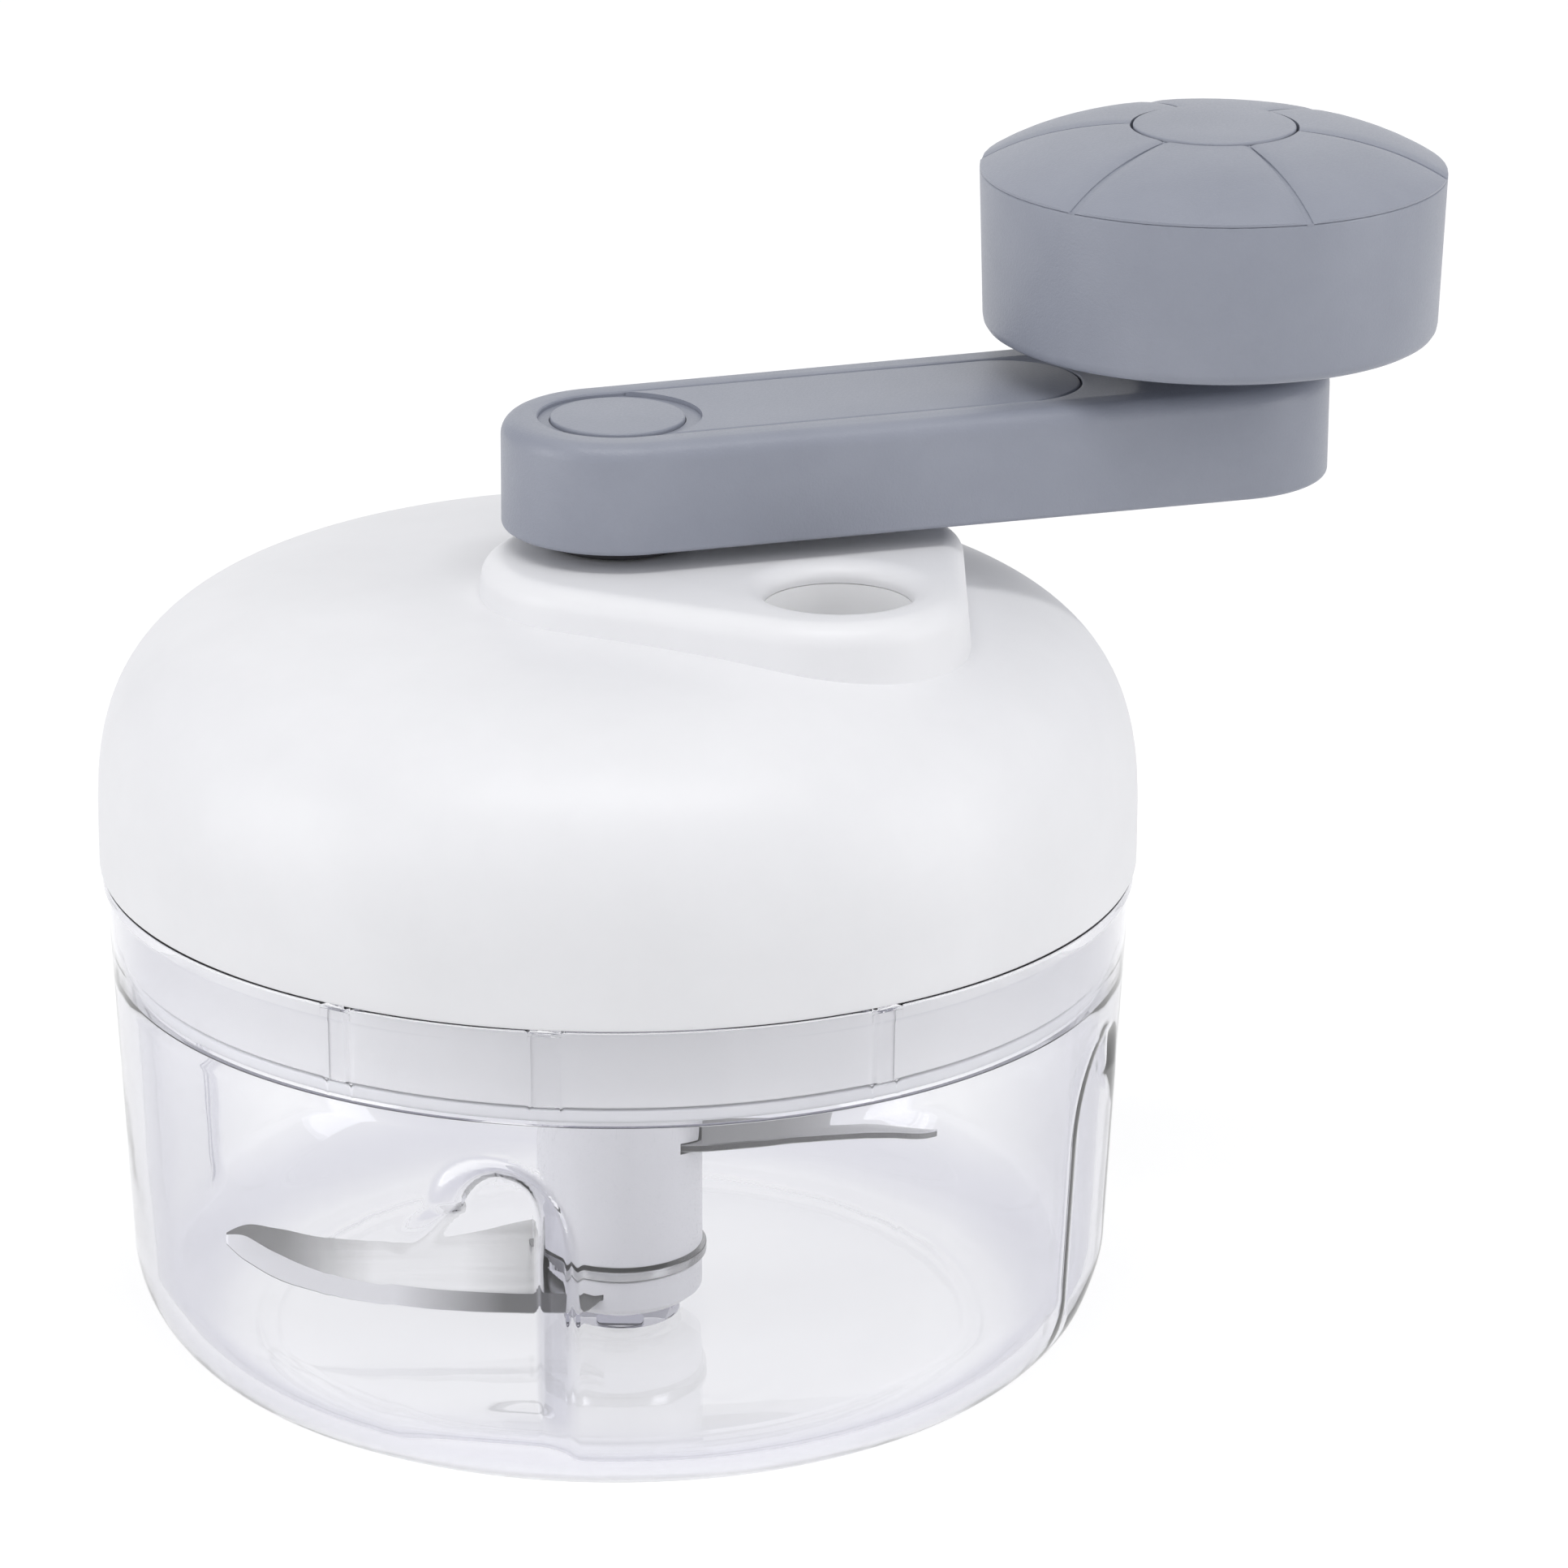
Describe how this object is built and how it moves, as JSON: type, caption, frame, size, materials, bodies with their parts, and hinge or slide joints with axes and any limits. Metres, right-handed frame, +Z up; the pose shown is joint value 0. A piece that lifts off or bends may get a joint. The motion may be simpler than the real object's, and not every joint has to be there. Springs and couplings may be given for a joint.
{
  "type": "hand-cranked garlic chopper",
  "caption": "Kitchen chopper with a clear round bowl, a white domed lid and a grey top crank that drives curved steel blades through a planetary gearbox.",
  "frame": {"origin": "centre of the bowl's flat base, on the surface the chopper stands on and on the crank's axis", "axes": "+Z up along the crank's axis; +X to the side the crank arm points, 17.5 degrees short of it; the filler port is at +X -Y"},
  "size_m": [0.1618, 0.1244, 0.1454],
  "materials": {
    "clear_plastic": "clear, polished",
    "white_plastic": "fine matt",
    "grey_plastic": "satin",
    "dark_plastic": "satin",
    "natural_plastic": "as moulded",
    "steel": "brushed",
    "silicone": "matt"
  },
  "bodies": {
    "bowl_body": {"bowl": "clear_plastic", "pivot_pin": "steel"},
    "lid": {"lid_shell": "white_plastic", "filler_tube": "white_plastic", "lid_base": "white_plastic", "lid_seal": "silicone", "base_screw_1": "steel", "base_screw_2": "steel", "base_screw_3": "steel", "ring_gear": "natural_plastic", "gearbox_cover": "natural_plastic", "gearbox_screw_1": "steel", "gearbox_screw_2": "steel", "gearbox_screw_3": "steel", "shaft_bush": "dark_plastic"},
    "crank": {"input_shaft": "steel", "planet_carrier": "natural_plastic", "planet_pin_1": "steel", "planet_pin_2": "steel", "planet_pin_3": "steel", "crank_arm": "grey_plastic", "arm_panel": "grey_plastic", "crank_cap": "grey_plastic", "crank_screw": "steel", "crank_washer": "steel", "knob_axle": "steel", "knob_screw": "steel", "knob_washer": "steel"},
    "knob": {"knob_body": "grey_plastic", "knob_top": "grey_plastic", "knob_disc": "grey_plastic"},
    "planet_1": {"planet_gear_1": "natural_plastic"},
    "planet_2": {"planet_gear_2": "natural_plastic"},
    "planet_3": {"planet_gear_3": "natural_plastic"},
    "output": {"output_shaft": "natural_plastic"},
    "blades": {"blade_hub": "white_plastic", "blade_hub_cap": "white_plastic", "lower_blade": "steel", "upper_blade": "steel"}
  },
  "joints": [
    {"name": "lid_lift", "type": "slide", "parent": "bowl_body", "child": "lid", "axis": [0, 0, 1], "range_m": [0, 0.06]},
    {"name": "crank_turn", "type": "hinge", "parent": "lid", "child": "crank", "pos_m": [0, 0, 0.1], "axis": [0, 0, 1], "continuous": true},
    {"name": "knob_spin", "type": "hinge", "parent": "crank", "child": "knob", "pos_m": [0.07153, 0.02255, 0.13], "axis": [0, 0, 1], "continuous": true},
    {"name": "planet_spin_1", "type": "hinge", "parent": "crank", "child": "planet_1", "pos_m": [0.0096, 0, 0.06], "axis": [0, 0, 1], "continuous": true},
    {"name": "planet_spin_2", "type": "hinge", "parent": "crank", "child": "planet_2", "pos_m": [-0.0048, 0.00831, 0.06], "axis": [0, 0, 1], "continuous": true},
    {"name": "planet_spin_3", "type": "hinge", "parent": "crank", "child": "planet_3", "pos_m": [-0.0048, -0.00831, 0.06], "axis": [0, 0, 1], "continuous": true},
    {"name": "output_turn", "type": "hinge", "parent": "lid", "child": "output", "pos_m": [0, 0, 0.06], "axis": [0, 0, 1], "continuous": true},
    {"name": "blade_turn", "type": "hinge", "parent": "bowl_body", "child": "blades", "pos_m": [0, 0, 0.02], "axis": [0, 0, 1], "continuous": true}
  ],
  "couplings": [
    {"joint": "planet_spin_1", "follows": "crank_turn", "ratio": -3},
    {"joint": "planet_spin_2", "follows": "crank_turn", "ratio": -3},
    {"joint": "planet_spin_3", "follows": "crank_turn", "ratio": -3},
    {"joint": "output_turn", "follows": "crank_turn", "ratio": 4},
    {"joint": "blade_turn", "follows": "crank_turn", "ratio": 4}
  ]
}
